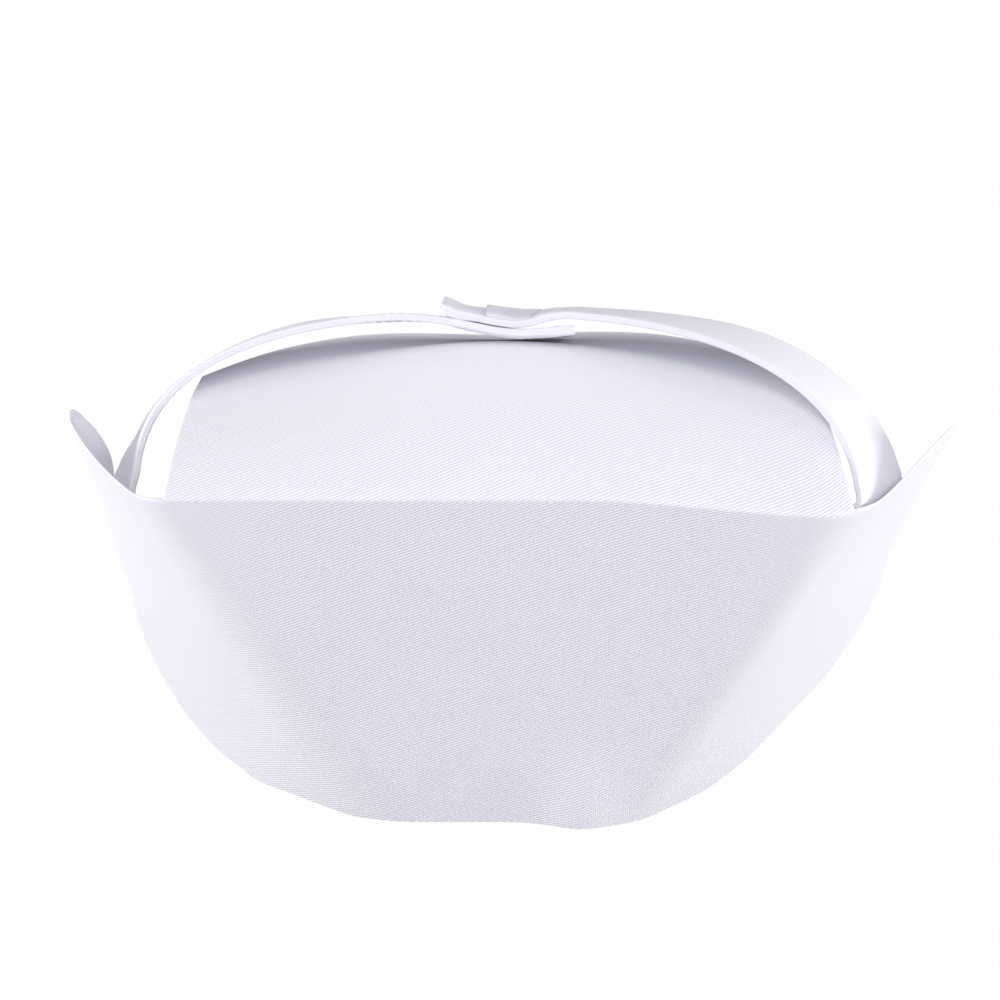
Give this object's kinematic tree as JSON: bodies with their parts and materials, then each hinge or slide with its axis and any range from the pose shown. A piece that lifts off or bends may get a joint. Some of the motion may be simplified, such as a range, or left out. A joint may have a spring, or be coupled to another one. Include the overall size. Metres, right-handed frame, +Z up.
{
  "type": "folded nurse's cap",
  "caption": "White twill folded nurse's cap: stiff front panel with swept-back wings, a crown that folds back from the straight crest, and a back strap closed with hook and loop tape",
  "frame": {"origin": "middle of the head opening, under the crown, level with the lowest edge of the front panel", "axes": "+Z up, +X to the wearer's left along the crest (the picture's right), front panel faces -Y"},
  "size_m": [0.2563, 0.0858, 0.1521],
  "materials": {
    "white_twill": "bleached cotton-blend twill drill, starched, matte",
    "interlining": "stiff woven interlining, matte",
    "hook_and_loop_tape": "white woven nylon hook and loop tape, matte",
    "sewing_thread": "white polyester sewing thread"
  },
  "bodies": {
    "front": {"front_face": "white_twill", "front_interlining": "interlining", "front_lining": "white_twill"},
    "crown": {"crown_face": "white_twill", "crown_interlining": "interlining", "crown_lining": "white_twill"},
    "right_strap": {"right_strap_outer": "white_twill", "right_strap_inner": "white_twill", "right_strap_thread": "sewing_thread", "right_root_thread": "sewing_thread", "hook_tape": "hook_and_loop_tape", "hook_tape_thread": "sewing_thread", "tip_patch": "hook_and_loop_tape", "tip_patch_thread": "sewing_thread"},
    "left_strap": {"left_strap_outer": "white_twill", "left_strap_inner": "white_twill", "left_strap_thread": "sewing_thread", "left_root_thread": "sewing_thread", "loop_tape": "hook_and_loop_tape", "loop_tape_thread": "sewing_thread"}
  },
  "joints": [
    {"name": "crown_fold", "type": "hinge", "parent": "front", "child": "crown", "pos_m": [0, -0.03785, 0.12415], "axis": [-1, 0, 0], "range_deg": [0, 60], "stiffness_Nm_per_rad": 0.1, "springref_deg": -5.73},
    {"name": "right_strap_open", "type": "hinge", "parent": "front", "child": "right_strap", "pos_m": [0.09785, -0.03687, 0.12691], "axis": [0.6097, 0.7926, 0], "range_deg": [0, 40]},
    {"name": "left_strap_open", "type": "hinge", "parent": "front", "child": "left_strap", "pos_m": [-0.10262, -0.03158, 0.12667], "axis": [0.3274, -0.9413, 0.0819], "range_deg": [0, 22]}
  ],
  "couplings": [
    {"joint": "left_strap_open", "follows": "right_strap_open", "ratio": 0.55}
  ]
}
